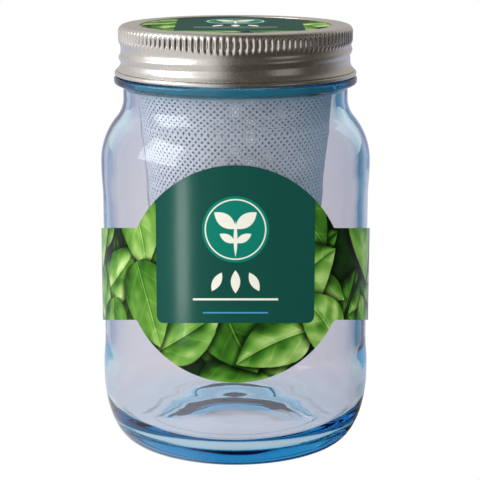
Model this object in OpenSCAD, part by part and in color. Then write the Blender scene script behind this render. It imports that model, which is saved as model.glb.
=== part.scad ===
// Hydroponic jar planter: a threaded glass jar with a perforated basket hanging in its mouth,
// a felt wick down to the water, growing discs and seeds, and a two-piece screw lid.
// Millimetres, +Z up, origin at the middle of the foot on the table. The front faces -Y.

/* [Jar] */
// height of the glass, foot to rim
jar_h = 126.6; // [120:0.2:140]
// outside radius of the straight panel that carries the label
panel_r = 41; // [40:0.1:43]
// how far the bands above and below the panel stand out from it
band_out = 0.4; // [0.1:0.05:0.6]
// glass thickness at the side wall
glass_t = 3; // [2:0.1:3.4]
// height of the inside floor
floor_z = 5.5; // [4:0.1:8]
// height over which the heel rounds up from the foot
heel_h = 21; // [14:0.5:24]
// outside radius of the flat foot ring
foot_r = 32.4; // [30:0.1:35]
// width of the flat foot ring
foot_w = 6; // [3:0.5:9]
// depth of the hollow under the base
push_up = 1.6; // [0.5:0.1:2.5]
// radius at which the shoulder turns over
shoulder_turn = 20.5; // [14:0.5:22]
// radius at which the shoulder runs into the neck
neck_turn = 9.5; // [5:0.5:11]

// height from the rim down to where the shoulder meets the neck
neck_drop = 22.9; // [21:0.1:25]
// height from the rim down to the turn of the shoulder
shoulder_drop = 31.4; // [30:0.1:35]
// height from the rim down to the top of the label panel
panel_drop = 48.6; // [44:0.2:54]

/* [Mouth and thread] */
// outside radius of the glass between thread turns
finish_r = 33.2; // [31:0.1:35.5]
// glass thickness at the mouth
finish_t = 2.4; // [2:0.1:3]
// how far the glass thread stands out
thread_out = 1.25; // [0.9:0.05:1.3]
// lift of one full turn
pitch = 5.08; // [4.2:0.02:5.6]
// number of turns of thread on the glass
glass_turns = 1.25; // [0.75:0.05:1.25]
// how far the handling ring under the lid stands out from the finish
ring_out = 3.9; // [3.2:0.1:4.4]
// height from the rim down to the top of the handling ring
ring_drop = 12.9; // [12.4:0.1:14]

/* [Basket] */
// height of the upright collar that hangs in the mouth
collar_h = 13.6; // [11:0.1:16]
// thickness of the basket sheet
sheet_t = 0.4; // [0.3:0.05:0.6]
// height of the underside of the basket wall above the table
basket_z = 35; // [30:0.5:40]
// lean of the basket wall from upright, degrees
taper = 5; // [3:0.1:5.4]
// diameter of the openings in the wall
hole_d = 4.2; // [1.5:0.1:5]
// openings in one row
holes_round = 20; // [12:1:22]
// rows of openings
hole_rows = 8; // [4:1:10]
// width of the lap strip up the left side of the basket
seam_w = 7; // [4:0.5:10]
// diameter of the drain openings in the basket base
drain_d = 2.4; // [1.2:0.1:2.6]

/* [Wick and contents] */
// width of the felt wick
wick_w = 12; // [8:0.5:14]
// thickness of the felt wick
wick_t = 2; // [1:0.1:2.4]
// height of the wick's lower end above the table
wick_low = 18; // [9:0.5:26]
// thickness of each pressed growing disc
coir_h = 12.3; // [6:0.1:14]
// length of the seed packet
packet_l = 34; // [24:0.5:36]
// width of the seed packet
packet_w = 26; // [18:0.5:28]
// number of seeds in the packet
seed_count = 14; // [4:1:18]

/* [Lid] */
// how far the band's top reaches in over the lid disc
band_lap = 5.55; // [4.6:0.05:7]
// gap between the crest of the glass thread and the band's wall
thread_gap = 0.3; // [0.25:0.05:0.5]
// gap between the band's own thread and the glass
ridge_gap = 0.75; // [0.6:0.05:0.85]
// thickness of the screw band's sheet
band_t = 0.35; // [0.3:0.05:0.45]
// number of knurl ridges round the top of the band
knurls = 120; // [60:4:140]
// height of the knurled part
knurl_h = 3.6; // [2.5:0.1:3.6]
// thickness of the flat lid disc
disc_t = 0.5; // [0.3:0.05:0.7]
// thickness of the seal ring
seal_t = 1.1; // [0.8:0.05:1.6]
// thickness of the round label on the lid
lid_label_t = 0.25; // [0.1:0.05:0.3]

/* [Front label] */
// thickness of the front label
label_t = 0.3; // [0.2:0.05:0.4]
// half angle of the round part, seen from the sight point, degrees
label_round = 3.8; // [3:0.1:4]
// how far each side arm runs round the jar from the front, degrees
label_wrap = 100; // [95:1:120]

/* [Part to show] */
// one part by name, or all

/* [Hidden] */
$fn = 96;
// play between pieces that only lie together
play = 0.05;
// play between a loose piece and the slot it sits in
slot_play = 0.4;
// the mouth, the ring and the screw band all follow the finish
mouth_r = finish_r - finish_t;
ring_r = finish_r + ring_out;
band_in_r = finish_r + thread_out + thread_gap;
opening_r = band_in_r - band_lap;
// radius of the jar just above the heel, and at the band under the shoulder
low_r = panel_r + band_out + 0.1;
high_r = panel_r + band_out;
// the straight neck between shoulder and handling ring
neck_r = finish_r + 1.1;
inside_r = panel_r - glass_t;
// heights on the jar, all taken from the rim
ring_top = jar_h - ring_drop;
ring_z = ring_top - 1.7;
neck_z = jar_h - neck_drop;
shoulder_z = jar_h - shoulder_drop;
panel_top = jar_h - panel_drop;
panel_low = heel_h + 10;
// steps in the shallow dome under the base
hollow_steps = 8;
// glass below the neck is a little thicker than the side wall
shoulder_t = glass_t + 0.2;
// the stack that the screw band holds down on the rim
flange_t = 0.5;
flange_top = jar_h + flange_t;
seal_top = flange_top + seal_t;
disc_top = seal_top + disc_t;
lid_top = disc_top + 0.5;
// the flange and the seal pass the thread inside the band
flange_r = finish_r + 0.2;
disc_r = flange_r + 0.2;
collar_r = mouth_r - 0.5;
collar_in_r = collar_r - 0.5;
collar_z = jar_h - collar_h;
// the basket wall: a cone that ends in a short upright lip inside the collar
lip_r = collar_in_r - play;
lip_z = collar_z - 2;
lip_top = collar_z + 4;
basket_low_r = lip_r - (lip_z - basket_z) * tan(taper);
// the foot ring wraps the lower edge of the wall
foot_lip_t = 0.5;
foot_ring_h = 3.5;
foot_ring_in = basket_low_r + foot_ring_h * tan(taper) + 0.1;
base_r = basket_low_r - sheet_t - 2 * play;
coir_low_z = basket_z + sheet_t + 0.2;
coir_mid_z = coir_low_z + coir_h + 0.2;
coir_top = coir_mid_z + coir_h;
packet_z = coir_top + 0.2;
packet_h = 2.8;
paper_t = 0.3;
seed_r = 0.85;
// the die-cut label stands just clear of the bands above and below the panel
label_r = panel_r + band_out + play;
// the point from which the round part reads as a true circle and the arms as level bars
sight_y = -500;
sight_z = 172.3;
sight_far = 545;
label_reach = 2 * (label_r + label_t);
round_dip = 13.62;
arm_dip_top = 12.02;
arm_dip_low = 15.23;
// the middle of the glass thread at the front of the jar
thread_z = ring_top + 5.6;
thread_start = -103;
thread_step = 12;
knurl_z = lid_top - 0.8 - knurl_h;
roll_r = 0.75;
roll_at = [ring_r - 0.95, ring_top + 0.3 + roll_r];
flare_h = 2.4;
// the band's own thread lies this far below the glass thread when the lid is tight
ridge_drop = 1.6;
// how far into the band's sheet its inner ridge and its outer bead are rooted
ridge_root = 0.2;
bead_root = 0.15;
band_out_r = band_in_r + band_t;

// points of an arc of n steps about c
function arc(c, r, a0, a1, n) = [for (i = [0:n]) c + r * [cos(a0 + (a1 - a0) * i / n), sin(a0 + (a1 - a0) * i / n)]];
function unit(v) = v / norm(v);
function xy(p) = [p[0], p[1]];
// the corner b between a and c, rounded to radius r in n steps
function turn_at(a, b, c, r, n) =
    r <= 0 ? [b] :
    let (u = unit(a - b), v = unit(c - b), half = acos(u * v) / 2)
    let (m = b + unit(u + v) * r / sin(half), p = b + u * r / tan(half), q = b + v * r / tan(half))
    let (a0 = atan2(p[1] - m[1], p[0] - m[0]), a1 = atan2(q[1] - m[1], q[0] - m[0]))
    arc(m, r, a0, a0 + (a1 - a0 + 540) % 360 - 180, n);
// a path of [r, z, corner radius] with its corners rounded; the first and last points stay sharp
function rounded(p, n) = [for (i = [0:len(p) - 1])
    each (i == 0 || i == len(p) - 1) ? [xy(p[i])] : turn_at(xy(p[i - 1]), xy(p[i]), xy(p[i + 1]), p[i][2], n)];

// how far a ridge has risen at step i of n, fading in and out over four steps at its ends
function fade(i, n) = min(1, i / 4, (n - i) / 4);
// one cross-section of a ridge at angle a: foot radius, crest radius, foot and crest half heights
function ridge_points(a, z, foot, crest, hf, hc) = [for (q = [[foot, -hf], [crest, -hc], [crest, hc], [foot, hf]])
    [q[0] * cos(a), q[0] * sin(a), z + q[1]]];

// a helical ridge that starts at angle `from` from the front and runs for a number of turns
module ridge(from, turns, z_front, foot, crest, hf, hc) {
    n = round(turns * 360 / thread_step);
    points = [for (i = [0:n]) each ridge_points(from + i * thread_step - 90,
        z_front + pitch * (from + i * thread_step) / 360,
        foot, foot + (crest - foot) * (0.05 + 0.95 * fade(i, n)), hf, hc)];
    sides = [for (i = [0:n - 1], j = [0:3]) each [
        [4 * i + j, 4 * i + (j + 1) % 4, 4 * i + 4 + j],
        [4 * i + (j + 1) % 4, 4 * i + 4 + (j + 1) % 4, 4 * i + 4 + j]]];
    ends = [[0, 3, 2], [0, 2, 1], [4 * n, 4 * n + 1, 4 * n + 2], [4 * n, 4 * n + 2, 4 * n + 3]];
    flip = crest > foot ? 0 : 1;
    polyhedron(points, [for (f = concat(sides, ends)) flip == 0 ? [f[0], f[1], f[2]] : [f[2], f[1], f[0]]]);
}

module glass_jar() {
    heel = [for (t = [0:9:90]) [foot_r + (low_r - foot_r) * sin(t), heel_h * (1 - cos(t))]];
    outside = rounded([
        [low_r, heel_h + 0.5],
        [low_r, heel_h + 4, 30],
        [panel_r, panel_low, 30],
        [panel_r, panel_top, 30],
        [high_r, panel_top + 7, 30],
        [high_r, shoulder_z, shoulder_turn],
        [neck_r, neck_z, neck_turn],
        [neck_r, ring_z - 2.8, 1],
        [ring_r, ring_z, 1],
        [ring_r, ring_top, 0.7],
        [finish_r, ring_top, 0.6],
        [finish_r, jar_h, 0.8],
        [mouth_r + 1.1, jar_h]], 8);
    inside = rounded([
        [mouth_r + 0.9, jar_h],
        [mouth_r, jar_h, 0.6],
        [mouth_r, neck_z - 1.2, neck_turn + shoulder_t],
        [inside_r, shoulder_z - 1.2, shoulder_turn - shoulder_t],
        [inside_r, floor_z, 10],
        [0, floor_z]], 8);
    under = [for (i = [0:hollow_steps])
        [(foot_r - foot_w) * i / hollow_steps, push_up * (1 - pow(i / hollow_steps, 2))]];
    color([0.72, 0.76, 0.86, 0.35])
    union() {
        rotate_extrude() polygon(concat(under, heel, outside, inside));
        ridge(thread_start, glass_turns, thread_z, finish_r - 0.2, finish_r + thread_out, 1.15, 0.45);
    }
}

module label_shell() {
    difference() {
        cylinder(r = label_r + label_t, h = jar_h);
        translate([0, 0, -1]) cylinder(r = label_r, h = jar_h + 2);
    }
}

// the height at depth y of an edge that dips by so many degrees from the sight point
function arm_edge(y, dip) = [y, sight_z - (y - sight_y) * tan(dip)];

module front_label() {
    arm_end = (label_r + label_t) * sin(label_wrap - 90);
    color([0.2, 0.45, 0.15])
    intersection() {
        label_shell();
        union() {
            intersection() {
                translate([0, sight_y, sight_z]) rotate([-90 - round_dip, 0, 0])
                    cylinder(r1 = 0, r2 = sight_far * tan(label_round), h = sight_far);
                translate([-label_reach / 2, -label_reach / 2, 0]) cube([label_reach, label_reach / 2, jar_h]);
            }
            translate([-label_reach / 2, 0, 0]) rotate([90, 0, 90]) linear_extrude(label_reach) polygon([
                arm_edge(-label_reach / 2, arm_dip_low),
                arm_edge(arm_end, arm_dip_low),
                arm_edge(arm_end, arm_dip_top),
                arm_edge(-label_reach / 2, arm_dip_top)]);
        }
    }
}

module basket_rim() {
    color([0.78, 0.78, 0.78])
    rotate_extrude() polygon(rounded([
        [collar_in_r + 1.5, flange_top],
        [collar_in_r, flange_top, 0.7],
        [collar_in_r, collar_z, 0],
        [collar_r, collar_z, 0],
        [collar_r, jar_h, 0],
        [flange_r, jar_h, 0],
        [flange_r, flange_top, 0],
        [collar_in_r + 2, flange_top]], 5));
}

module basket_wall() {
    first_row = basket_z + 6;
    row_gap = (lip_z - 6 - first_row) / (hole_rows - 1);
    punch_from = basket_low_r - 3;
    color([0.74, 0.74, 0.75])
    difference() {
        rotate_extrude() polygon([
            [basket_low_r, basket_z],
            [lip_r, lip_z],
            [lip_r, lip_top],
            [lip_r - sheet_t, lip_top],
            [lip_r - sheet_t, lip_z],
            [basket_low_r - sheet_t, basket_z]]);
        for (row = [0:hole_rows - 1], i = [0:holes_round - 1])
            translate([0, 0, first_row + row * row_gap])
                rotate([0, 90, (i + (row % 2) / 2) * 360 / holes_round])
                    translate([0, 0, punch_from]) cylinder(d = hole_d, h = mouth_r - punch_from, $fn = 24);
    }
}

module basket_seam() {
    half = seam_w / (2 * lip_r) * 180 / PI;
    low = basket_z + foot_ring_h + 0.5;
    high = collar_z - 0.6;
    near = play;
    far = play + sheet_t;
    r_low = basket_low_r + (low - basket_z) * tan(taper);
    r_high = lip_r;
    color([0.7, 0.7, 0.71])
    rotate([0, 0, 180 - half]) rotate_extrude(angle = 2 * half) polygon([
        [r_low + near, low],
        [r_low + far, low],
        [r_high + far, lip_z],
        [r_high + far, high],
        [r_high + near, high],
        [r_high + near, lip_z]]);
}

module basket_base() {
    step = drain_d * 1.75;
    reach = base_r - 2.6;
    color([0.74, 0.74, 0.75])
    translate([0, 0, basket_z]) difference() {
        cylinder(r = base_r, h = sheet_t);
        for (i = [-6:6], j = [-6:6]) {
            x = (i + (abs(j) % 2) / 2) * step;
            y = j * step * sin(60);
            if (norm([x, y]) < reach - drain_d / 2 && (abs(y) > wick_t / 2 + drain_d || abs(x) > wick_w / 2 + drain_d))
                translate([x, y, -1]) cylinder(d = drain_d, h = 3, $fn = 24);
        }
        cube([wick_w + 2 * slot_play, wick_t + 2 * slot_play, 4], center = true);
    }
}

module basket_foot_ring() {
    color([0.76, 0.76, 0.77])
    rotate_extrude() polygon([
        [base_r - 2.2, basket_z - foot_lip_t],
        [foot_ring_in + 0.5, basket_z - foot_lip_t],
        [foot_ring_in + 0.5, basket_z + foot_ring_h - foot_lip_t],
        [foot_ring_in, basket_z + foot_ring_h - foot_lip_t],
        [foot_ring_in, basket_z - 0.02],
        [base_r - 2.2, basket_z - 0.02]]);
}

module wick_strip() {
    color([0.93, 0.93, 0.9])
    translate([-wick_w / 2, -wick_t / 2, wick_low]) cube([wick_w, wick_t, coir_top - 2.5 - wick_low]);
}

module coir_disc(r, z) {
    edge = 1.2;
    difference() {
        rotate_extrude() polygon(rounded([
            [0, z],
            [r, z, edge],
            [r, z + coir_h, edge],
            [0, z + coir_h]], 5));
        translate([-wick_w / 2 - slot_play, -wick_t / 2 - slot_play, z - 1])
            cube([wick_w + 2 * slot_play, wick_t + 2 * slot_play, coir_h + 2]);
    }
}

module coir_disc_lower() {
    color([0.36, 0.24, 0.15]) coir_disc(base_r - 0.6, coir_low_z);
}

module coir_disc_upper() {
    color([0.38, 0.26, 0.16]) coir_disc(base_r + 0.4, coir_mid_z);
}

module seed_packet() {
    color([0.82, 0.74, 0.6])
    difference() {
        translate([-packet_l / 2, -packet_w / 2, packet_z]) cube([packet_l, packet_w, packet_h]);
        translate([-packet_l / 2 + paper_t, -packet_w / 2 + paper_t, packet_z + paper_t])
            cube([packet_l - 2 * paper_t, packet_w - 2 * paper_t, packet_h - 2 * paper_t]);
    }
}

module seeds() {
    color([0.12, 0.09, 0.07])
    for (i = [0:seed_count - 1]) {
        a = i * 137.5;
        d = 1.6 + (packet_w / 2 - 3.4) * sqrt(i / seed_count);
        translate([d * cos(a) * 1.2, d * sin(a), packet_z + paper_t + play + seed_r])
            sphere(r = seed_r, $fn = 24);
    }
}

module lid_seal() {
    color([0.85, 0.4, 0.28])
    rotate_extrude() polygon(rounded([
        [collar_r, flange_top],
        [flange_r, flange_top, 0.3],
        [flange_r, seal_top, 0.3],
        [collar_in_r + 0.1, seal_top, 0.3],
        [collar_in_r + 0.1, flange_top + 0.1, 0],
        [collar_in_r + 0.3, flange_top]], 4));
}

module lid_disc() {
    color([0.8, 0.8, 0.8])
    translate([0, 0, seal_top]) cylinder(r = disc_r, h = disc_t);
}

module lid_label() {
    color([0.15, 0.4, 0.12])
    translate([0, 0, disc_top]) cylinder(r = opening_r - 0.6, h = lid_label_t);
}

module knurl_ring() {
    tip = band_out_r + 0.65;
    valley = band_out_r + 0.15;
    difference() {
        linear_extrude(knurl_h) polygon([for (i = [0:4 * knurls - 1])
            (i % 4 < 2 ? tip : valley) * [cos(i * 90 / knurls), sin(i * 90 / knurls)]]);
        translate([0, 0, -1]) cylinder(r = band_in_r + band_t / 2, h = knurl_h + 2);
    }
}

module screw_band() {
    top_z = lid_top;
    flare_z = roll_at[1] + flare_h;
    color([0.72, 0.7, 0.68])
    union() {
        rotate_extrude() polygon(rounded([
            [opening_r, disc_top],
            [opening_r, top_z, 0.2],
            [band_out_r + 0.35, top_z, 1],
            [band_out_r + 0.35, knurl_z, 0],
            [band_out_r, knurl_z - 0.3, 0],
            [band_out_r, flare_z, 1],
            [roll_at[0] + 0.2, roll_at[1], 0],
            [roll_at[0] - 0.2, roll_at[1], 0],
            [band_in_r, flare_z - 0.1, 1],
            [band_in_r, disc_top, 0.4],
            [opening_r + 2, disc_top]], 6));
        translate([0, 0, knurl_z]) knurl_ring();
        rotate_extrude() translate(roll_at) circle(r = roll_r, $fn = 24);
        ridge(thread_start + 2 * thread_step, 1, thread_z - ridge_drop,
            band_in_r + ridge_root, finish_r + ridge_gap, 1, 0.3);
        ridge(thread_start + 3 * thread_step, 1, thread_z, band_in_r + bead_root, band_out_r + 0.5, 1.2, 0.45);
    }
}

glass_jar();
front_label();
basket_rim();
basket_wall();
basket_seam();
basket_base();
basket_foot_ring();
wick_strip();
coir_disc_lower();
coir_disc_upper();
seed_packet();
seeds();
lid_seal();
lid_disc();
lid_label();
screw_band();
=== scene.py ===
"""Hydroponic jar planter: glass jar, knurled screw band, perforated basket and printed labels."""

import math
import random

import bpy
import numpy as np
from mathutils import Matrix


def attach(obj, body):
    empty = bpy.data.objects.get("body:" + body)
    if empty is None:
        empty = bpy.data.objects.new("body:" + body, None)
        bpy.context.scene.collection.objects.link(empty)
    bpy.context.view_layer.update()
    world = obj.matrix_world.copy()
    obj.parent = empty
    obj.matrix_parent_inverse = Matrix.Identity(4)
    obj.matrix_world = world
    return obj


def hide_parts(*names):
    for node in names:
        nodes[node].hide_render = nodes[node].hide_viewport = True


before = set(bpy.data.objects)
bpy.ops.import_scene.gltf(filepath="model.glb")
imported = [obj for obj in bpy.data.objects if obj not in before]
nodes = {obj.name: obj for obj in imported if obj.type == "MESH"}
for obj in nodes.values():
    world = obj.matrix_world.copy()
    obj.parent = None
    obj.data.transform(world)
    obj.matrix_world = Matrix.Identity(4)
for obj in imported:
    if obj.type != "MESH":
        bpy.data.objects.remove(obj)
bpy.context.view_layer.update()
scene = bpy.context.scene
MM = 0.001

# Camera, fitted to the outlines of the lid, the jar and the foot in the photo
PICTURE_PX = 480
FOCAL_PX = 1637.45
SHIFT_PX = 4.5
LOOK_DOWN = 12.436
SENSOR_MM = 36
camera_data = bpy.data.cameras.new("camera")
camera = bpy.data.objects.new("camera", camera_data)
scene.collection.objects.link(camera)
camera.location = (0.0, -0.500, 0.17227)
camera.rotation_euler = (math.radians(90 - LOOK_DOWN), 0, 0)
camera_data.sensor_width = SENSOR_MM
camera_data.lens = SENSOR_MM * FOCAL_PX / PICTURE_PX
camera_data.shift_x = SHIFT_PX / PICTURE_PX
camera_data.clip_start = 0.01
scene.camera = camera
scene.view_settings.view_transform = "Standard"

# Light bounces many times inside the thick glass, and ends in black where it is cut short
BOUNCES = 24
scene.cycles.max_bounces = BOUNCES
scene.cycles.transmission_bounces = BOUNCES
scene.cycles.glossy_bounces = BOUNCES


# Shader helpers
class Paint:
    """A material's node tree, with short calls for the nodes that the looks share."""

    def __init__(self, name=None, tree=None):
        if tree is None:
            self.material = bpy.data.materials.new(name)
            self.material.use_nodes = True
            tree = self.material.node_tree
            tree.nodes.clear()
        self.tree = tree

    def add(self, kind, inputs=None, **settings):
        made = self.tree.nodes.new(kind)
        for key, value in settings.items():
            setattr(made, key, value)
        for key, value in (inputs or {}).items():
            if isinstance(value, bpy.types.NodeSocket):
                self.tree.links.new(value, made.inputs[key])
            else:
                made.inputs[key].default_value = value
        return made

    def math(self, operation, a, b=0.0, c=0.0):
        return self.add("ShaderNodeMath", {0: a, 1: b, 2: c}, operation=operation).outputs[0]

    def plus(self, a, b):
        return self.math("ADD", a, b)

    def minus(self, a, b):
        return self.math("SUBTRACT", a, b)

    def times(self, a, b):
        return self.math("MULTIPLY", a, b)

    def scaled(self, a, factor, added):
        """a times factor, plus added."""
        return self.math("MULTIPLY_ADD", a, factor, added)

    def larger(self, a, b):
        return self.math("MAXIMUM", a, b)

    def smaller(self, a, b):
        return self.math("MINIMUM", a, b)

    def magnitude(self, a):
        return self.math("ABSOLUTE", a)

    def distance(self, x, y):
        return self.math("SQRT", self.plus(self.times(x, x), self.times(y, y)))

    def mix(self, factor, a, b):
        made = self.add("ShaderNodeMix", {"Factor": factor}, data_type="RGBA")
        for index, value in ((6, a), (7, b)):
            if isinstance(value, bpy.types.NodeSocket):
                self.tree.links.new(value, made.inputs[index])
            else:
                made.inputs[index].default_value = (*value[:3], 1)
        return made.outputs[2]

    def ramp(self, factor, stops):
        made = self.add("ShaderNodeValToRGB", {"Fac": factor})
        elements = made.color_ramp.elements
        while len(elements) < len(stops):
            elements.new(0.5)
        for element, (place, value) in zip(elements, stops):
            element.position = place
            element.color = (*value, 1)
        return made.outputs["Color"]

    def smooth(self, value, low, high, to_low=0.0, to_high=1.0):
        inputs = {"Value": value, "From Min": low, "From Max": high, "To Min": to_low, "To Max": to_high}
        return self.add("ShaderNodeMapRange", inputs, interpolation_type="SMOOTHSTEP").outputs[0]

    def place(self):
        return self.add("ShaderNodeTexCoord").outputs["Object"]

    def stretched(self, vector, scale):
        return self.add("ShaderNodeMapping", {"Vector": vector, "Scale": scale}).outputs[0]

    def turned(self, vector, at, turn, size):
        """The vector as seen from a frame at the given place, turn and size."""
        inputs = {"Vector": vector, "Location": at, "Rotation": turn, "Scale": size}
        return self.add("ShaderNodeMapping", inputs, vector_type="TEXTURE").outputs[0]

    def noise(self, vector, scale, detail=4.0, rough=0.5):
        return self.add("ShaderNodeTexNoise", {"Vector": vector, "Scale": scale, "Detail": detail,
                                               "Roughness": rough}).outputs["Fac"]

    def bump(self, height, depth, strength):
        inputs = {"Height": height, "Distance": depth, "Strength": strength}
        return self.add("ShaderNodeBump", inputs).outputs[0]

    def split(self, vector):
        return self.add("ShaderNodeSeparateXYZ", {0: vector}).outputs

    def joined(self, x, y):
        return self.add("ShaderNodeCombineXYZ", {0: x, 1: y}).outputs[0]

    def surface(self, **inputs):
        """A Principled shader wired to the output; underscores in the names stand for spaces."""
        shader = self.add("ShaderNodeBsdfPrincipled", {k.replace("_", " "): v for k, v in inputs.items()})
        self.output = self.add("ShaderNodeOutputMaterial", {"Surface": shader.outputs[0]})
        return shader

    def either(self, factor, first, second):
        """The first shader where factor is 0 and the second where it is 1."""
        return self.add("ShaderNodeMixShader", {0: factor, 1: first.outputs[0], 2: second.outputs[0]})


def colour(r, g, b):
    return (r, g, b, 1.0)


def brighter(tint, factor):
    return tuple(min(1, factor * c) for c in tint)


# Mesh helpers
def make_mesh(name, points, faces, smooth=True):
    data = bpy.data.meshes.new(name)
    data.from_pydata([tuple(p) for p in points], [], faces)
    data.validate()
    data.polygons.foreach_set("use_smooth", [smooth] * len(data.polygons))
    data.update()
    if smooth:
        data.set_sharp_from_angle(angle=math.radians(38))
    made = bpy.data.objects.new(name, data)
    scene.collection.objects.link(made)
    return made


def grid_faces(rows, columns, wrap_rows=False, wrap_columns=False, start=0):
    """Quads over a grid of rows by columns of points, counted row by row."""
    r = np.arange(rows if wrap_rows else rows - 1)
    c = np.arange(columns if wrap_columns else columns - 1)
    rr, cc = np.meshgrid(r, c, indexing="ij")
    up, across = (rr + 1) % rows, (cc + 1) % columns
    quads = np.stack([rr * columns + cc, rr * columns + across, up * columns + across, up * columns + cc], -1)
    return (quads.reshape(-1, 4) + start).tolist()


def slab_faces(rows, columns, flip=False):
    """Faces of a thin slab: a grid of points, the same grid behind it, and the edges between the two."""
    count = rows * columns
    faces = grid_faces(rows, columns) + [f[::-1] for f in grid_faces(rows, columns, start=count)]
    for i in range(columns - 1):
        j = (rows - 1) * columns + i
        faces += [[i + 1, i, count + i, count + i + 1], [j, j + 1, count + j + 1, count + j]]
    for row in range(rows - 1):
        i, j = row * columns, (row + 1) * columns
        m, n = i + columns - 1, j + columns - 1
        faces += [[i, j, count + j, count + i], [n, m, count + m, count + n]]
    return [f[::-1] for f in faces] if flip else faces


def rounded(corners, steps=8):
    """A path of (r, z, corner radius) with its corners rounded; the first and last points stay sharp."""
    path = [np.array(corners[0][:2], float)]
    for before, here, after in zip(corners, corners[1:], corners[2:]):
        b = np.array(here[:2], float)
        radius = here[2] if len(here) > 2 else 0
        if radius <= 0:
            path.append(b)
            continue
        u, v = np.array(before[:2]) - b, np.array(after[:2]) - b
        u, v = u / np.linalg.norm(u), v / np.linalg.norm(v)
        half = math.acos(np.clip(u @ v, -1, 1)) / 2
        middle = b + (u + v) / np.linalg.norm(u + v) * radius / math.sin(half)
        p, q = b + u * radius / math.tan(half), b + v * radius / math.tan(half)
        first = math.atan2(*(p - middle)[::-1])
        turn = (math.atan2(*(q - middle)[::-1]) - first + math.pi) % (2 * math.pi) - math.pi
        angles = [first + turn * i / steps for i in range(steps + 1)]
        path += [middle + radius * np.array([math.cos(t), math.sin(t)]) for t in angles]
    path.append(np.array(corners[-1][:2], float))
    return np.array(path)


def resample(path, gap):
    """The same path with no step longer than gap."""
    out = [path[0]]
    for a, b in zip(path, path[1:]):
        n = max(1, math.ceil(np.linalg.norm(b - a) / gap))
        out += [a + (b - a) * i / n for i in range(1, n + 1)]
    return np.array(out)


def revolve(path, columns, shift=None):
    """Points of a closed or open path turned about Z; shift(angle, r, z) gives an added radius, in mm."""
    angle = np.arange(columns) * 2 * math.pi / columns
    r = np.repeat(path[:, 0][:, None], columns, 1)
    z = np.repeat(path[:, 1][:, None], columns, 1)
    a = np.repeat(angle[None], len(path), 0)
    if shift is not None:
        r = r + shift(a, r, z)
    return np.stack([r * np.sin(a), -r * np.cos(a), z], -1).reshape(-1, 3) * MM


def turned_solid(name, path, columns, shift=None):
    """A solid turned from an open path that starts and ends close to the axis."""
    faces = grid_faces(len(path), columns, wrap_columns=True)
    faces.append(list(range(columns))[::-1])
    faces.append([(len(path) - 1) * columns + i for i in range(columns)])
    return make_mesh(name, revolve(path, columns, shift), faces)


def finish_piece(made, body, material, replaced):
    made.data.materials.clear()
    made.data.materials.append(material)
    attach(made, body)
    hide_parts(replaced)


def assign(material, *names):
    """Gives the material to CAD nodes, which keep their own meshes."""
    for name in names:
        nodes[name].data.materials.clear()
        nodes[name].data.materials.append(material)


def smoothstep(x, low, high):
    t = np.clip((x - low) / (high - low), 0, 1)
    return t * t * (3 - 2 * t)


def turns_from_front(a):
    """The angle from the front, -180 to 180 degrees."""
    return (np.degrees(a) + 180) % 360 - 180


PITCH = 5.08


def helix_rise(a, z, z_front, start, turns, fade):
    """Height above the nearest pass of a helix at each point, and how far it has faded in, 0 to 1."""
    best = np.full(z.shape, 99.0)
    strength = np.zeros(z.shape)
    base = turns_from_front(a)
    for lap in range(-1, 3):
        along = base + 360 * lap
        gap = z - (z_front + PITCH * along / 360)
        inside = np.minimum(smoothstep(along, start, start + fade),
                            1 - smoothstep(along, start + 360 * turns - fade, start + 360 * turns))
        nearer = (inside > 0) & (np.abs(gap) < np.abs(best))
        best = np.where(nearer, gap, best)
        strength = np.where(nearer, inside, strength)
    return best, strength


# Glass jar, radii and heights in mm; the ring's lower edge is higher than in the CAD, as in the photo
AXIS_R = 0.05
HIGH_R, PANEL_R, SHOULDER_R = 41.5, 41, 41.4
FOOT_R, HEEL_H = 32.4, 21
HOLLOW_R, HOLLOW_H = 26.4, 1.6
NECK_R, FINISH_R, MOUTH_R, INSIDE_R = 34.3, 33.2, 30.8, 38
RING_R, RING_LOW, RING_EDGE, RING_TOP = 37.1, 110.4, 111.8, 113.7
RIM_Z, WELL_Z, WELL_MIDDLE_Z = 126.6, 5.5, 5.9
# the thread's height at the front, and where it starts, in degrees from the front
THREAD_Z, THREAD_START, THREAD_TURNS = 119.3, -103, 1.25
THREAD_DEPTH, THREAD_HALF = 1.25, 0.85
JAR_COLUMNS = 288

hollow = [(max(AXIS_R, HOLLOW_R * t), HOLLOW_H * (1 - t * t)) for t in np.linspace(0, 1, 13)] + [(29, 0)]
heel = [(FOOT_R + (HIGH_R - FOOT_R) * math.sin(t), HEEL_H * (1 - math.cos(t)))
        for t in np.radians(np.arange(0, 91, 5))]
outside = rounded([(HIGH_R, HEEL_H + 0.5), (HIGH_R, 25, 30), (PANEL_R, 31, 30), (PANEL_R, 78, 30),
                   (SHOULDER_R, 85, 30), (SHOULDER_R, 95.2, 20.5), (NECK_R, 103.7, 9.5),
                   (NECK_R, RING_LOW, 0.8), (RING_R, RING_EDGE, 0.8), (RING_R, RING_TOP, 0.7),
                   (FINISH_R, RING_TOP, 0.6), (FINISH_R, RIM_Z, 0.8), (31.9, RIM_Z)], 10)
inside = rounded([(31.7, RIM_Z), (MOUTH_R, RIM_Z, 0.6), (MOUTH_R, 102.5, 12.7), (INSIDE_R, 94, 17.3),
                  (INSIDE_R, WELL_Z, 10), (26.5, WELL_Z, 0), (25.6, WELL_MIDDLE_Z, 1),
                  (AXIS_R, WELL_MIDDLE_Z)], 12)


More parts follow.
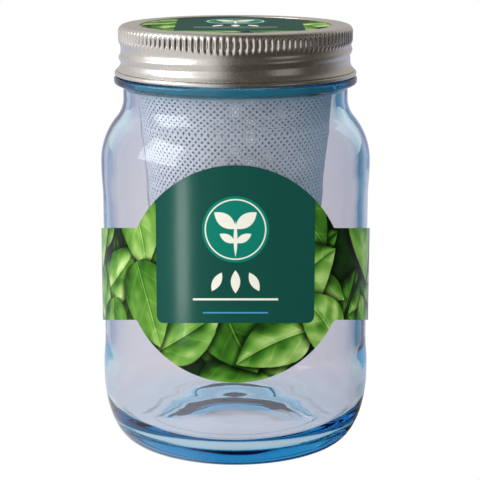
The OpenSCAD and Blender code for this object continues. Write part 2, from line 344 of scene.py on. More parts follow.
def finer_finish(path, gap=0.4):
    """The path with steps of no more than gap on the wall that carries the thread."""
    out = []
    for a, b in zip(path, path[1:]):
        steps = 1
        on_wall = max(a[0], b[0]) < FINISH_R + 0.1 and min(a[0], b[0]) > FINISH_R - 0.1
        if on_wall and min(a[1], b[1]) > RING_TOP + 0.1:
            steps = max(1, math.ceil(abs(b[1] - a[1]) / gap))
        out += [a + (b - a) * i / steps for i in range(steps)]
    return np.array(out + [path[-1]])


def jar_shift(a, r, z):
    """The thread outside the finish, and slight waves on the inner wall."""
    on_finish = (z > 113.9) & (z < 126.4) & (r > 32.9)
    gap, strength = helix_rise(a, z, THREAD_Z, THREAD_START, THREAD_TURNS, 25)
    thread = THREAD_DEPTH * strength * np.exp(-(gap / THREAD_HALF) ** 4)
    wave = 0.06 * np.sin(2 * a + 0.6 + z / 23) + 0.05 * np.sin(3 * a - z / 17) + 0.03 * np.sin(5 * a + z / 12)
    wave = wave * smoothstep(z, 18, 40) * (1 - smoothstep(z, 74, 92)) * smoothstep(r, 36.6, 37.6) * (r < 38.4)
    return np.where(on_finish, thread, 0) + wave


jar_path = resample(np.concatenate([np.array(hollow), np.array(heel), outside, inside]), 2.2)
glass = turned_solid("glass_jar_body", finer_finish(jar_path), JAR_COLUMNS, jar_shift)


def clear_glass():
    """Pale blue glass that is deeper in colour where it is thick, with a painted teal reflection on the
    handling ring.
    """
    p = Paint("clear_glass")
    where = p.place()
    ripple = p.noise(p.stretched(where, (1, 1, 0.35)), 28, 2)
    rings = p.noise(p.stretched(where, (0.1, 0.1, 1)), 160, 2)
    normal = p.bump(p.plus(ripple, p.times(rings, 0.12)), 0.0009, 0.55)
    x, y, z = p.split(where)
    radius = p.distance(x, y)
    # painted reflection: teal base colour on the handling ring, standing in for the light that bounces inside
    # the thick ring
    painted_ring_reflection = p.times(p.smooth(radius, (NECK_R + 0.2) * MM, (NECK_R + 1.9) * MM),
                      p.smooth(z, RING_LOW * MM, (RING_LOW + 0.8) * MM))
    painted_ring_reflection = p.times(painted_ring_reflection, p.smooth(z, (RING_TOP + 0.1) * MM, (RING_TOP + 0.5) * MM, 1.0, 0.0))
    tint = p.mix(painted_ring_reflection, (1.0, 0.905, 0.935), (0.02, 0.40, 0.56))
    body = p.surface(Base_Color=tint, Roughness=0.0, IOR=1.47, Transmission_Weight=1.0, Normal=normal)
    clear = p.add("ShaderNodeBsdfTransparent", {"Color": colour(0.96, 0.96, 0.985)})
    light = p.add("ShaderNodeLightPath").outputs
    both = p.either(light["Is Shadow Ray"], body, clear)
    p.tree.links.new(both.outputs[0], p.output.inputs["Surface"])
    depth = p.add("ShaderNodeVolumeAbsorption", {"Color": colour(0.33, 0.77, 0.90), "Density": 80.0})
    p.tree.links.new(depth.outputs[0], p.output.inputs["Volume"])
    return p.material


finish_piece(glass, "jar", clear_glass(), "glass_jar")


# Brushed metals
def metal(name, tint, rough, along, brush, dents=0.00003, body=1.0):
    """Satin sheet metal with fine rolling marks, stretched by the scale `along`, and faint handling marks."""
    p = Paint(name)
    where = p.place()
    marks = p.noise(p.stretched(where, along), brush, 3, 0.6)
    cloud = p.noise(where, 35, 3)
    base = p.mix(p.smooth(cloud, 0.3, 0.7), brighter(tint, 0.92), tint)
    base = p.mix(p.smooth(marks, 0.35, 0.7, 0, 0.35), base, brighter(tint, 1.12))
    gloss = p.plus(p.times(marks, 0.10), p.times(cloud, 0.06))
    gloss = p.plus(gloss, rough - 0.08)
    normal = p.bump(p.plus(marks, p.times(cloud, 0.4)), dents, 0.6)
    p.surface(Base_Color=base, Metallic=body, Roughness=gloss, Normal=normal)
    return p.material


band_metal = metal("band_tinplate", (0.74, 0.715, 0.685), 0.27, (1, 1, 1), 700, 0.00004)
basket_metal = metal("basket_steel", (0.97, 0.94, 0.91), 0.42, (1, 1, 4), 500, body=0.05)
lid_metal = metal("lid_tinplate", (0.80, 0.78, 0.75), 0.25, (6, 1, 1), 400)

# Screw band: the lip over the disc, the wall from the knurl down, the rolled edge and the inner side
BAND_R, BAND_TOP, BAND_INNER_R = 35.68, 129.2, 34.78
ROLL_R, ROLL_Z, ROLL_HALF = 36.15, 114.75, 0.75
KNURLS, KNURL_DEPTH, BAND_COLUMNS = 120, 0.60, 840
# the bead outside and the ridge inside: height at the front, start in degrees from the front, depth
BEAD_Z, BEAD_START, BEAD_DEPTH = 120.6, -150, 0.62
RIDGE_Z, RIDGE_START, RIDGE_DEPTH = THREAD_Z - 1.6, -79, 0.8
# radius that parts the outer side of the band from the inner one
BAND_MIDDLE_R = 34.85

lip = rounded([(31.2, 128.75), (29.45, 128.72, 0.2), (29.2, 128.95, 0.15), (29.35, BAND_TOP, 0.2),
               (BAND_R, BAND_TOP, 1.8), (BAND_R, 127.0)], 8)
wall = np.array([(BAND_R, 126.2), (BAND_R, 125.4), (35.66, 124.8), (35.58, 124.3), (35.42, 123.9),
                 (35.2, 123.5), (35.05, 123.0), (34.98, 122.4), (34.96, 121.8), (34.96, 121.0),
                 (34.96, 120.2), (34.96, 119.4), (34.96, 118.6), (35.0, 118.0), (35.1, 117.4),
                 (35.28, 116.9), (35.56, 116.45), (35.86, 116.1), (36.1, 115.87), (36.2, 115.72),
                 (36.17, 115.6), (36.0, 115.53), (35.82, 115.43)])
roll = [(ROLL_R + ROLL_HALF * math.cos(t), ROLL_Z + ROLL_HALF * math.sin(t))
        for t in np.radians(np.arange(116, -200, -17))]
inner = rounded([(35.35, 115.35), (BAND_INNER_R, 117.05, 1), (BAND_INNER_R, 128.6, 0.4), (31.2, 128.75)], 5)
band_path = np.concatenate([lip, resample(wall, 0.46), np.array(roll), resample(inner[1:-1], 1.1)])


def band_shift(a, r, z):
    """Knurls round the top, the thread's bead on the outer side and its ridge on the inner side."""
    outer = r > BAND_MIDDLE_R
    phase = (a * KNURLS / (2 * math.pi)) % 1
    flute = 0.5 + 0.5 * np.cos(2 * math.pi * phase)
    flute = 1 - (1 - flute) ** 1.6
    ends = smoothstep(z, 122.9, 125.6) * (1 - smoothstep(z, 126.6, 129.0))
    knurl = (flute - 1.0) * KNURL_DEPTH * ends
    gap, strength = helix_rise(a, z, BEAD_Z, BEAD_START, 1.0, 40)
    groove = 0.20 * np.exp(-((gap + 1.75) / 0.42) ** 2)
    bead = strength * (BEAD_DEPTH * np.exp(-(gap / 1.05) ** 2) - groove)
    on_wall = smoothstep(z, 117.2, 118.2) * (1 - smoothstep(z, 123.2, 124.2))
    inward = (r < BAND_MIDDLE_R) & (z > 116.9) & (z < 127)
    gap, strength = helix_rise(a, z, RIDGE_Z, RIDGE_START, 1.0, 40)
    ridge = -RIDGE_DEPTH * strength * np.exp(-(gap / 0.75) ** 2)
    return np.where(outer, knurl + bead * on_wall, 0) + np.where(inward, ridge, 0)


points = revolve(band_path, BAND_COLUMNS, band_shift)
faces = [f[::-1] for f in grid_faces(len(band_path), BAND_COLUMNS, wrap_rows=True, wrap_columns=True)]
band = make_mesh("screw_band_shell", points, faces)
finish_piece(band, "band", band_metal, "screw_band")

# Basket wall, a mesh of diamond holes
LIP_R, LIP_Z, LIP_TOP = 29.7, 111.0, 117
BASKET_Z, FOOT_H = 35.0, 3.2
TAPER = math.tan(math.radians(5))
LOW_R = LIP_R - (LIP_Z - BASKET_Z) * TAPER
ACROSS, ROW_GAP, SHEET = 92, 0.975, 0.4
# share of a cell's width and height that its hole takes
OPEN = 0.47
mesh_rows = int((LIP_Z + 0.4 - BASKET_Z - FOOT_H) / ROW_GAP)
mesh_low = BASKET_Z + FOOT_H


def wall_point(u, z, depth):
    """A point of the wall at column u and height z, at a depth below its outer side."""
    r = min(LIP_R, LOW_R + (z - BASKET_Z) * TAPER) - depth
    a = 2 * math.pi * u / ACROSS
    return (r * math.sin(a) * MM, -r * math.cos(a) * MM, z * MM)


points, faces = [], []
corner = {}
for depth in (0, SHEET):
    for j in range(-1, mesh_rows + 1):
        for m in range(ACROSS):
            corner[j, m, depth] = len(points)
            points.append(wall_point(m + ((j + 1) % 2) / 2, mesh_low + j * ROW_GAP, depth))
for j in range(mesh_rows):
    for i in range(ACROSS):
        # every other row of cells stands half a cell to the side
        if j % 2 == 0:
            around = [(j, (i - 1) % ACROSS), (j + 1, i), (j, i), (j - 1, i)]
            u = i
        else:
            around = [(j, i), (j + 1, i), (j, (i + 1) % ACROSS), (j - 1, i)]
            u = i + 0.5
        z = mesh_low + j * ROW_GAP
        holes = []
        for depth in (0, SHEET):
            ring = []
            for du, dz in ((-0.5, 0), (0, 1), (0.5, 0), (0, -1)):
                ring.append(len(points))
                points.append(wall_point(u + du * OPEN, z + dz * ROW_GAP * OPEN, depth))
            holes.append(ring)
        front = [corner[c[0], c[1], 0] for c in around]
        back = [corner[c[0], c[1], SHEET] for c in around]
        for k in range(4):
            n = (k + 1) % 4
            faces.append([front[k], holes[0][k], holes[0][n], front[n]])
            faces.append([back[k], back[n], holes[1][n], holes[1][k]])
            faces.append([holes[0][k], holes[1][k], holes[1][n], holes[0][n]])


def add_ring(path, columns=184):
    """A closed ring of the given profile, added to the basket wall's own mesh."""
    start = len(points)
    points.extend(map(tuple, revolve(np.array(path), columns)))
    faces.extend(grid_faces(len(path), columns, True, True, start))


top = mesh_low + (mesh_rows - 1) * ROW_GAP
r_top = LOW_R + (top - BASKET_Z) * TAPER
r_foot = LOW_R + (mesh_low - BASKET_Z) * TAPER
add_ring([(r_top + 0.02, top - 0.1), (LIP_R + 0.02, LIP_Z), (LIP_R + 0.02, LIP_TOP),
          (LIP_R - SHEET, LIP_TOP), (LIP_R - SHEET, LIP_Z), (r_top - SHEET, top - 0.1)])
add_ring([(LOW_R, BASKET_Z), (r_foot + 0.02, mesh_low), (r_foot - SHEET, mesh_low),
          (LOW_R - SHEET, BASKET_Z)])
basket = make_mesh("basket_wall_mesh", points, faces, smooth=False)
finish_piece(basket, "basket", basket_metal, "basket_wall")
assign(basket_metal, "basket_rim", "basket_seam", "basket_base", "basket_foot_ring")
assign(lid_metal, "lid_disc")

# Printed leaves
SUN = (-0.5, 0.85)


def leaf_group():
    """One printed leaf laid over what is under it. Size is half its length and half its width, and Light
    is the way to the light along and across the leaf."""
    tree = bpy.data.node_groups.new("printed_leaf", "ShaderNodeTree")
    for way, kind, names in (("INPUT", "Vector", ("Place", "At", "Turn", "Size", "Light")),
                             ("INPUT", "Float", ("Tone", "Bend")), ("INPUT", "Color", ("Under",)),
                             ("OUTPUT", "Color", ("Over",)), ("OUTPUT", "Vector", ("Next",))):
        for name in names:
            tree.interface.new_socket(name=name, in_out=way, socket_type="NodeSocket" + kind)
    p = Paint(tree=tree)
    given = p.add("NodeGroupInput").outputs
    local = p.turned(given["Place"], given["At"], given["Turn"], given["Size"])
    light_u, light_v, _ = p.split(given["Light"])
    u, v, _ = p.split(local)
    v = p.scaled(p.times(u, u), given["Bend"], v)
    away = p.magnitude(v)
    half = p.smooth(v, -0.06, 0.06, -1.0, 1.0)
    within = p.smaller(p.larger(u, -1), 1)
    width = p.times(p.math("POWER", p.plus(within, 1), 0.5), p.math("POWER", p.minus(1, within), 0.92))
    past = p.larger(p.minus(p.magnitude(u), 1), 0)
    wander = p.minus(p.noise(local, 1.9, 1), 0.5)
    edge = p.minus(p.times(width, 0.94), p.scaled(past, 1.3, away))
    edge = p.scaled(p.minus(p.noise(local, 5, 2), 0.5), 0.07, edge)
    mask = p.smooth(edge, 0.0, 0.05)
    shade = p.smooth(edge, -0.34, 0.02, 0.0, 0.9)
    t = p.smaller(p.math("DIVIDE", away, p.larger(p.times(width, 0.94), 0.05)), 1)
    lane = p.scaled(p.times(away, away), -0.25, p.scaled(away, -0.55, u))
    lane = p.times(p.scaled(wander, 0.2, lane), 9.0)
    # each half of the blade swells between the midrib and the edge, and again between two side veins
    hump = p.times(p.math("COSINE", p.times(p.math("POWER", t, 0.75), math.pi)), half)
    puff = p.times(p.math("COSINE", lane), p.smooth(t, 0.02, 0.25))
    puff = p.times(puff, p.scaled(t, -0.6, 1))
    bright = p.scaled(p.times(hump, light_v), 0.22, given["Tone"])
    bright = p.scaled(p.times(u, light_u), -0.15, bright)
    bright = p.scaled(puff, p.scaled(light_u, 0.09, 0.075), bright)
    bright = p.scaled(wander, 0.62, bright)
    bright = p.scaled(p.times(t, t), -0.10, bright)
    vein = p.smooth(p.math("COSINE", p.plus(lane, 1.2)), 0.90, 1.0)
    vein = p.times(vein, p.smooth(t, 0.5, 0.98, 1.0, 0.0))
    bright = p.scaled(vein, 0.06, bright)
    bright = p.scaled(p.smooth(away, 0.03, 0.12, 1.0, 0.0), -0.10, bright)
    rib = p.times(p.smooth(away, 0.0, 0.045, 1.0, 0.0), p.smooth(u, 0.2, 1.0, 1.0, 0.4))
    bright = p.scaled(rib, 0.26, bright)
    leaf = p.ramp(bright, [(0.0, (0.003, 0.012, 0.002)), (0.2, (0.012, 0.055, 0.005)),
                           (0.4, (0.05, 0.19, 0.014)), (0.6, (0.165, 0.37, 0.055)),
                           (0.8, (0.42, 0.63, 0.19)), (1.0, (0.80, 0.93, 0.48))])
    under = p.mix(shade, given["Under"], (0.0015, 0.006, 0.0015))
    over = p.mix(mask, under, leaf)
    # the place is handed on through the colour, so that the renderer works the leaves out one by one
    after = p.add("ShaderNodeVectorMath", {0: over, 1: (1e-7, 1e-7, 1e-7), 2: given["Place"]},
                  operation="MULTIPLY_ADD").outputs[0]
    end = p.add("NodeGroupOutput")
    p.tree.links.new(over, end.inputs["Over"])
    p.tree.links.new(after, end.inputs["Next"])
    return tree


LEAF = leaf_group()


def scatter(rng, count, low, high, apart, keep):
    """Seeded places in a box, no two nearer than apart, where keep(x, y) is true."""
    found = []
    for _ in range(count * 60):
        x, y = rng.uniform(low[0], high[0]), rng.uniform(low[1], high[1])
        if keep(x, y) and all(math.hypot(x - a, y - b) > apart for a, b in found):
            found.append((x, y))
        if len(found) == count:
            break
    return found


def printed(p, place, seed, layers, low, high, keep):
    """Layers of printed leaves over a near-black ground, from the darkest to the palest. A layer is its
    number of leaves, how far apart they are, their tone and their size."""
    rng = random.Random(seed)
    over = p.mix(p.noise(place, 0.35, 3), (0.002, 0.008, 0.002), (0.01, 0.045, 0.006))
    for count, apart, tone, size in layers:
        for x, y in scatter(rng, count, low, high, apart, keep):
            half, turn = size * rng.uniform(0.85, 1.2), rng.uniform(0, 2 * math.pi)
            c, s = math.cos(turn), math.sin(turn)
            leaf = p.add("ShaderNodeGroup", {}, node_tree=LEAF)
            for key, value in (("Place", place), ("Under", over)):
                p.tree.links.new(value, leaf.inputs[key])
            leaf.inputs["At"].default_value = (x, y, 7.3 * rng.randrange(90))
            leaf.inputs["Turn"].default_value = (0, 0, turn)
            leaf.inputs["Size"].default_value = (half, half * rng.uniform(0.62, 0.80), 1)
            leaf.inputs["Light"].default_value = (c * SUN[0] + s * SUN[1], c * SUN[1] - s * SUN[0], 0)
            leaf.inputs["Tone"].default_value = tone + rng.uniform(-0.06, 0.06)
            leaf.inputs["Bend"].default_value = rng.uniform(-0.25, 0.25)
            over, place = leaf.outputs["Over"], leaf.outputs["Next"]
    return over


# Printed panels: a plain green field with an ornament, in mm on the print
GREEN, BADGE = (0.0065, 0.072, 0.054), (0.004, 0.205, 0.145)
CREAM, BLUE = (0.88, 0.87, 0.76), (0.07, 0.33, 0.55)
BADGE_V, BADGE_R, CIRCLE_R = 13, 9.7, 8.7
# place, turn, half length and half width of each blade: the sprig in the badge, then the row below it
BLADES = (((0, 10.2), 90, 5.2, 0.55),
          ((-3.0, 15.6), 142, 3.9, 1.9), ((3.0, 15.6), 38, 3.9, 1.9),
          ((-2.3, 10.4), 150, 2.6, 1.15), ((2.3, 10.4), 30, 2.6, 1.15),
          ((-5.4, -2.4), 62, 3.1, 1.25), ((0, -2.4), 90, 3.4, 1.35), ((5.4, -2.4), 118, 3.1, 1.25))
# height, half length, half width and colour of each rule
RULES = ((-7.6, 12.5, 0.30, CREAM), (-11.6, 9.5, 0.22, BLUE))


def box_mask(p, x, y, half, low, corner, soft=0.12):
    """1 inside |x| < half and y > low, with rounded lower corners."""
    dx = p.larger(p.minus(p.magnitude(x), half - corner), 0)
    dy = p.larger(p.minus(low + corner, y), 0)
    return p.smooth(p.distance(dx, dy), corner - soft, corner, 1.0, 0.0)


def blade(p, place, at, turn, half, wide, soft=0.10):
    """1 inside a plain pointed blade of the given half length and half width."""
    local = p.turned(place, (*at, 0), (0, 0, math.radians(turn)), (half, wide, 1))
    u, v, _ = p.split(local)
    edge = p.minus(p.scaled(p.times(u, u), -1, 1), p.magnitude(v))
    return p.smooth(edge, -soft / wide, soft / wide)


def ornament(p, place, ground):
    """A round sprig badge over a row of three small blades and two plain rules."""
    u, v, _ = p.split(place)
    away = p.distance(u, p.minus(v, BADGE_V))
    drawn = p.mix(p.smooth(away, BADGE_R - 0.1, BADGE_R + 0.1, 1.0, 0.0), ground, BADGE)
    circle = p.smooth(p.magnitude(p.minus(away, CIRCLE_R)), 0.12, 0.28, 1.0, 0.0)
    drawn = p.mix(circle, drawn, CREAM)
    for at, turn, half, wide in BLADES:
        drawn = p.mix(blade(p, place, at, turn, half, wide), drawn, CREAM)
    for at, half, wide, tint in RULES:
        along = p.smooth(p.magnitude(u), half - 0.1, half + 0.1, 1.0, 0.0)
        level = p.smooth(p.magnitude(p.minus(v, at)), wide - 0.08, wide + 0.08, 1.0, 0.0)
        drawn = p.mix(p.times(along, level), drawn, tint)
    return drawn


# Front label: its outline reads as a circle with level arms from the photo's camera, as in the CAD
LABEL_R, LABEL_T, ROUND_DIP, HALF_ANGLE = 41.45, 0.3, 13.62, 3.8
SIGHT_Y, SIGHT_Z, WRAP = -500.0, 172.3, 100.0
ARM_TOP, ARM_LOW = math.tan(math.radians(12.02)), math.tan(math.radians(15.23))
LABEL_ROWS = 48
# radius of the print, and how far its front is from the camera
PRINT_R, PRINT_AWAY = 41.6, 458


def label_span(turn, r):
    """The lower and upper edge of the label at an angle from the front, in degrees."""
    a = math.radians(turn)
    x, y = r * math.sin(a), -r * math.cos(a)
    low, high = SIGHT_Z - (y - SIGHT_Y) * ARM_LOW, SIGHT_Z - (y - SIGHT_Y) * ARM_TOP
    # the round part's edge lies on a cone round the camera's line of sight: a quadratic in the height
    s, c = math.sin(math.radians(ROUND_DIP)), math.cos(math.radians(HALF_ANGLE))
    ahead = (y - SIGHT_Y) * math.cos(math.radians(ROUND_DIP))
    square = x * x + (y - SIGHT_Y) ** 2
    qa, qb, qc = s * s - c * c, -2 * ahead * s, ahead * ahead - c * c * square
    inside = qb * qb - 4 * qa * qc
    if inside > 0 and y < 0:
        ends = sorted(SIGHT_Z + (-qb + k * math.sqrt(inside)) / (2 * qa) for k in (-1, 1))
        low, high = min(low, ends[0]), max(high, ends[1])
    return low, high


def above_arm(turn):
    """True where the round part of the label stands above the arm."""
    arm = SIGHT_Z - (-LABEL_R * math.cos(math.radians(turn)) - SIGHT_Y) * ARM_TOP
    return label_span(turn, LABEL_R)[1] > arm + 0.02


side = max(t for t in np.arange(40, 60, 0.05) if above_arm(t))
turns = np.concatenate([np.linspace(-WRAP, -side - 0.4, 60)[:-1],
                        side * np.sin(np.linspace(-1, 1, 161) * math.pi / 2),
                        np.linspace(side + 0.4, WRAP, 60)[1:]])
points = []
for r in (LABEL_R + LABEL_T, LABEL_R):
    for row in range(LABEL_ROWS):
        for turn in turns:
            low, high = label_span(turn, r)
            a = math.radians(turn)
            height = low + (high - low) * row / (LABEL_ROWS - 1)
            points.append((r * math.sin(a) * MM, -r * math.cos(a) * MM, height * MM))
label = make_mesh("front_label_print", points, slab_faces(LABEL_ROWS, len(turns)))


def front_print_holds(a, b):
    """True where a leaf's middle may be: on the round or the arms, and off the panel."""
    return (abs(b + 1) < 19 or math.hypot(a, b) < 38) and not (abs(a) < 17 and b > -14)


def label_print():
    """Leaves round a green panel with the ornament in front, and plain white paper towards the glass."""
    p = Paint("label_print")
    x, y, z = p.split(p.place())
    across = p.times(p.math("ARCTAN2", x, p.times(y, -1)), PRINT_R)
    dip = p.math("DIVIDE", p.minus(SIGHT_Z * MM, z), p.plus(y, -SIGHT_Y * MM))
    up = p.times(p.minus(math.tan(math.radians(ROUND_DIP)), dip), PRINT_AWAY)
    place = p.joined(across, up)
    layers = [(14, 12, 0.29, 12), (15, 12, 0.45, 12), (12, 13, 0.58, 12)]
    leaves = printed(p, place, 11, layers, (-73, -34), (73, 31), front_print_holds)
    panel = box_mask(p, across, up, 24.5, -14.75, 2.4)
    grain = p.noise(place, 1.6, 3)
    field = p.mix(p.smooth(grain, 0.3, 0.7), GREEN, brighter(GREEN, 1.12))
    face = p.mix(panel, leaves, ornament(p, place, field))
    back = p.smooth(p.distance(x, y), (LABEL_R + 0.07) * MM, (LABEL_R + 0.13) * MM, 1.0, 0.0)
    face = p.mix(back, face, (0.80, 0.79, 0.77))
    paper = p.noise(place, 9, 4)
    p.surface(Base_Color=face, Roughness=p.smooth(paper, 0.3, 0.7, 0.19, 0.23), IOR=1.45,
              Specular_IOR_Level=0.1, Normal=p.bump(paper, 0.000005, 0.5))
    return p.material


finish_piece(label, "jar", label_print(), "front_label")

# Lid label
LID_LABEL_R, LID_LABEL_LOW, LID_LABEL_TOP = 28.6, 128.7, 128.95


def lid_print_holds(a, b):
    return math.hypot(a, b) < 30 and not (abs(a) < 12 and b > -12)


def lid_label_print():
    """Leaves round a green panel with the ornament, seen from above."""
    p = Paint("lid_label_print")
    x, y, _ = p.split(p.place())
    place = p.joined(p.times(x, 1000), p.times(y, 1000))
    layers = [(7, 12, 0.42, 12), (8, 10, 0.55, 12), (5, 9, 0.66, 11)]
    leaves = printed(p, place, 5, layers, (-29, -29), (29, 29), lid_print_holds)
    u, v, _ = p.split(place)
    panel = box_mask(p, p.minus(u, 1.2), v, 19.5, -19.6, 0.4)
    face = p.mix(panel, leaves, ornament(p, place, GREEN))
    paper = p.noise(place, 9, 4)
    p.surface(Base_Color=face, Roughness=p.smooth(paper, 0.3, 0.7, 0.34, 0.42),
              Specular_IOR_Level=0.01, Normal=p.bump(paper, 0.00002, 0.5))
    return p.material


disc = rounded([(AXIS_R, LID_LABEL_LOW), (LID_LABEL_R, LID_LABEL_LOW, 0.05),
                (LID_LABEL_R, LID_LABEL_TOP, 0.08), (AXIS_R, LID_LABEL_TOP)], 3)
lid_label = turned_solid("lid_label_print", resample(disc, 2.5), 144)
finish_piece(lid_label, "disc", lid_label_print(), "lid_label")


# Coir, paper, seeds, rubber and felt
def coir():
    p = Paint("coir")
    where = p.place()
    fibre = p.noise(p.stretched(where, (1, 0.25, 1)), 900, 6, 0.7)
    clump = p.noise(where, 220, 4)
    base = p.ramp(p.plus(p.times(fibre, 0.6), p.times(clump, 0.4)),
                  [(0.3, (0.045, 0.024, 0.012)), (0.5, (0.14, 0.08, 0.04)), (0.7, (0.32, 0.20, 0.10))])
    p.surface(Base_Color=base, Roughness=0.95, Normal=p.bump(p.plus(fibre, clump), 0.0006, 1.0))
    return p.material


def packet_paper():
    p = Paint("packet_paper")
    pulp = p.noise(p.stretched(p.place(), (1, 3, 1)), 700, 5, 0.65)
    base = p.ramp(pulp, [(0.3, (0.46, 0.33, 0.19)), (0.55, (0.58, 0.44, 0.28)),
                         (0.75, (0.68, 0.55, 0.38))])
    p.surface(Base_Color=base, Roughness=0.85, Normal=p.bump(pulp, 0.00005, 0.8))
    return p.material


def seed():
    p = Paint("seed")
    skin = p.noise(p.place(), 1800, 3)
    base = p.ramp(skin, [(0.35, (0.006, 0.005, 0.004)), (0.7, (0.035, 0.026, 0.018))])
    p.surface(Base_Color=base, Roughness=0.45, Normal=p.bump(skin, 0.00008, 0.7))
    return p.material


def seal_rubber():
    p = Paint("seal_rubber")
    mottle = p.noise(p.place(), 260, 4)
    base = p.mix(mottle, (0.52, 0.10, 0.045), (0.66, 0.16, 0.08))
    p.surface(Base_Color=base, Roughness=0.6, Normal=p.bump(mottle, 0.00004, 0.6))
    return p.material


def felt():
    p = Paint("felt")
    fluff = p.noise(p.place(), 1400, 6, 0.75)
    base = p.ramp(fluff, [(0.3, (0.66, 0.65, 0.60)), (0.7, (0.86, 0.85, 0.80))])
    p.surface(Base_Color=base, Roughness=0.98, Sheen_Weight=0.4, Normal=p.bump(fluff, 0.0003, 0.9))
    return p.material


assign(coir(), "coir_disc_lower", "coir_disc_upper")
assign(packet_paper(), "seed_packet")
assign(seed(), "seeds")
assign(seal_rubber(), "lid_seal")

# Felt wick, whose free end sways and curls a little
WICK_LOW, WICK_TOP, WICK_W, WICK_T = 18.0, 57.9, 12.0, 2.0
WICK_ROWS, WICK_COLUMNS = 61, 19
# drawn a little smaller than its CAD solid; laid flat, the bowed free end makes it longer
WICK_PLAY, WICK_BOW = 0.05, 0.6
points = []
for sign in (1, -1):
    for z in (WICK_LOW + (WICK_TOP - WICK_LOW) * i / (WICK_ROWS - 1) for i in range(WICK_ROWS)):
        hang = 1 - smoothstep(z, 27, 34)
        sway = hang * (1.1 * math.sin((34 - z) * 0.30))
        for s in (2 * j / (WICK_COLUMNS - 1) - 1 for j in range(WICK_COLUMNS)):
            edge = math.sqrt(max(0, 1 - abs(s) ** 8)) * 0.9 + 0.1
            curl = hang * 0.35 * s * s
            y = sway + curl + sign * (WICK_T / 2 - WICK_PLAY) * edge
            points.append(((WICK_W / 2 - WICK_PLAY) * s * MM, y * MM, z * MM))
wick = make_mesh("wick_felt", points, slab_faces(WICK_ROWS, WICK_COLUMNS, flip=True))
finish_piece(wick, "basket", felt(), "wick_strip")


# Floor and backdrop, white to the eye and tinted where the glass and the metal look
def studio_sides(p, x, y, behind):
    """What a reflection meets: pale on the left, dark and warm in front and on the right."""
    left = p.smooth(x, -0.46, -0.06, 1.0, 0.0)
    shine = p.mix(left, (0.070, 0.060, 0.048), (0.90, 0.89, 0.87))
    far_side = p.smooth(p.magnitude(x), 0.15, 0.9, 0.0, p.smooth(y, -0.2, 0.9, 0.0, 0.45))
    shine = p.mix(far_side, shine, (0.62, 0.61, 0.60))
    return p.mix(p.smooth(y, 0.2, 0.9, 0.0, 0.85), shine, behind)


def floor_paint():
    """White to the camera, tinted through the glass, the studio's colours in reflections, plain otherwise."""
    p = Paint("floor")
    body = p.surface(Base_Color=colour(0.86, 0.86, 0.87), Roughness=0.8)
    light = p.add("ShaderNodeLightPath").outputs
    at_x, at_y, _ = p.split(p.place())
    behind = p.mix(p.smooth(at_x, -0.05, 0.07), (0.93, 0.85, 0.84), (0.78, 0.71, 0.71))
    # rays that the jar's walls bend outward meet blue and teal, which draws the lines along its sides
    bent = p.math("DIVIDE", at_x, p.plus(p.magnitude(at_y), 0.05))
    lines = p.ramp(p.scaled(bent, 0.5, 0.5), [
        (0.08, (0.52, 0.48, 0.60)), (0.14, (0.34, 0.36, 0.56)), (0.20, (0.64, 0.58, 0.66)),
        (0.30, (0.86, 0.78, 0.79)), (0.66, (0.66, 0.59, 0.61)), (0.76, (0.44, 0.44, 0.54)),
        (0.83, (0.05, 0.24, 0.37)), (0.93, (0.04, 0.20, 0.32))])
    outward = p.smooth(p.distance(at_x, at_y), 0.08, 0.14)
    outward = p.times(outward, p.smooth(p.magnitude(bent), 0.32, 0.50))
    behind = p.mix(outward, behind, lines)
    plain = p.mix(light["Is Transmission Ray"], (1, 1, 1), behind)
    white = p.add("ShaderNodeEmission", {"Color": plain, "Strength": 1.0})
    seen = p.larger(light["Is Camera Ray"], light["Is Transmission Ray"])
    x, y, _ = p.split(p.add("ShaderNodeVectorMath", {0: p.place()}, operation="NORMALIZE").outputs[0])
    sides = studio_sides(p, x, y, (0.66, 0.68, 0.88))
    mirrored = p.add("ShaderNodeEmission", {"Color": sides, "Strength": 0.9})
    both = p.either(light["Is Glossy Ray"], body, mirrored)
    both = p.either(seen, both, white)
    p.tree.links.new(both.outputs[0], p.output.inputs["Surface"])
    return p.material


# the floor lies just below the foot
FLOOR_Z = -0.0003
corners = [(-4, -4, FLOOR_Z), (4, -4, FLOOR_Z), (4, 6, FLOOR_Z), (-4, 6, FLOOR_Z)]
floor = make_mesh("floor", corners, [[0, 1, 2, 3]], smooth=False)
floor.data.materials.append(floor_paint())


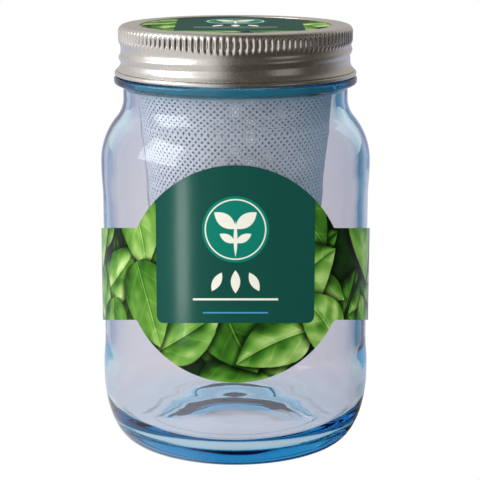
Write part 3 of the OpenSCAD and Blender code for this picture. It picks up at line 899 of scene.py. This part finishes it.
def paint_world(world):
    """White to the camera, with tinted sides for the glass and the metal."""
    p = Paint(tree=world.node_tree)
    x, y, _ = p.split(p.add("ShaderNodeTexCoord").outputs["Generated"])
    light = p.add("ShaderNodeLightPath").outputs
    shine = studio_sides(p, x, y, (0.56, 0.54, 0.50))
    through = p.ramp(p.scaled(x, 0.5, 0.5), [
        (0.0, (0.34, 0.38, 0.66)), (0.12, (0.52, 0.55, 0.76)), (0.26, (1, 1, 1)),
        (0.76, (0.97, 0.97, 0.98)), (0.88, (0.16, 0.42, 0.58)), (1.0, (0.06, 0.24, 0.38))])
    through = p.mix(p.smooth(y, -0.7, -0.1, 1.0, 0.0), through, (0.86, 0.83, 0.84))
    soft = p.mix(p.smooth(x, -0.55, 0.3, 1.0, 0.0), (0.84, 0.83, 0.83), (1.0, 1.0, 1.0))
    seen = p.mix(light["Is Glossy Ray"], soft, shine)
    seen = p.mix(light["Is Transmission Ray"], seen, through)
    seen = p.mix(light["Is Camera Ray"], seen, (1, 1, 1))
    sky = p.add("ShaderNodeBackground", {"Color": seen, "Strength": 1.0})
    p.add("ShaderNodeOutputWorld", {"Surface": sky.outputs[0]})


world = bpy.data.worlds.new("studio")
scene.world = world
world.use_nodes = True
world.node_tree.nodes.clear()
paint_world(world)


# Lamps: the window's four panes, a fill, and a narrow strip that only the front label mirrors
def lamp(name, at, to, size, power):
    data = bpy.data.lights.new(name, "AREA")
    data.shape = "RECTANGLE"
    data.size, data.size_y = size
    data.energy = power
    made = bpy.data.objects.new(name, data)
    scene.collection.objects.link(made)
    made.location = at
    way = np.array(to) - np.array(at)
    pitch, yaw = math.atan2(math.hypot(way[0], way[1]), -way[2]), math.atan2(way[0], -way[1]) + math.pi
    made.rotation_euler = (pitch, 0, yaw)
    return made


for i in (-1, 1):
    for j in (-1, 1):
        at = (-0.80 + 0.05 * i, -0.28 - 0.14 * i, 0.52 + 0.15 * j)
        lamp(f"window_{i}_{j}", at, (0, 0, 0.08), (0.30, 0.26), 0.9)
lamp("fill", (0.8, -0.7, 0.25), (0, 0, 0.06), (0.5, 0.6), 0.22)
strip = lamp("label_strip", (-0.122, -0.145, 0.037), (0, 0, 0.037), (0.03, 0.068), 0.19)
strip.visible_diffuse = False
mirrors = bpy.data.collections.new("label_strip_mirrors")
mirrors.objects.link(label)
strip.light_linking.receiver_collection = mirrors
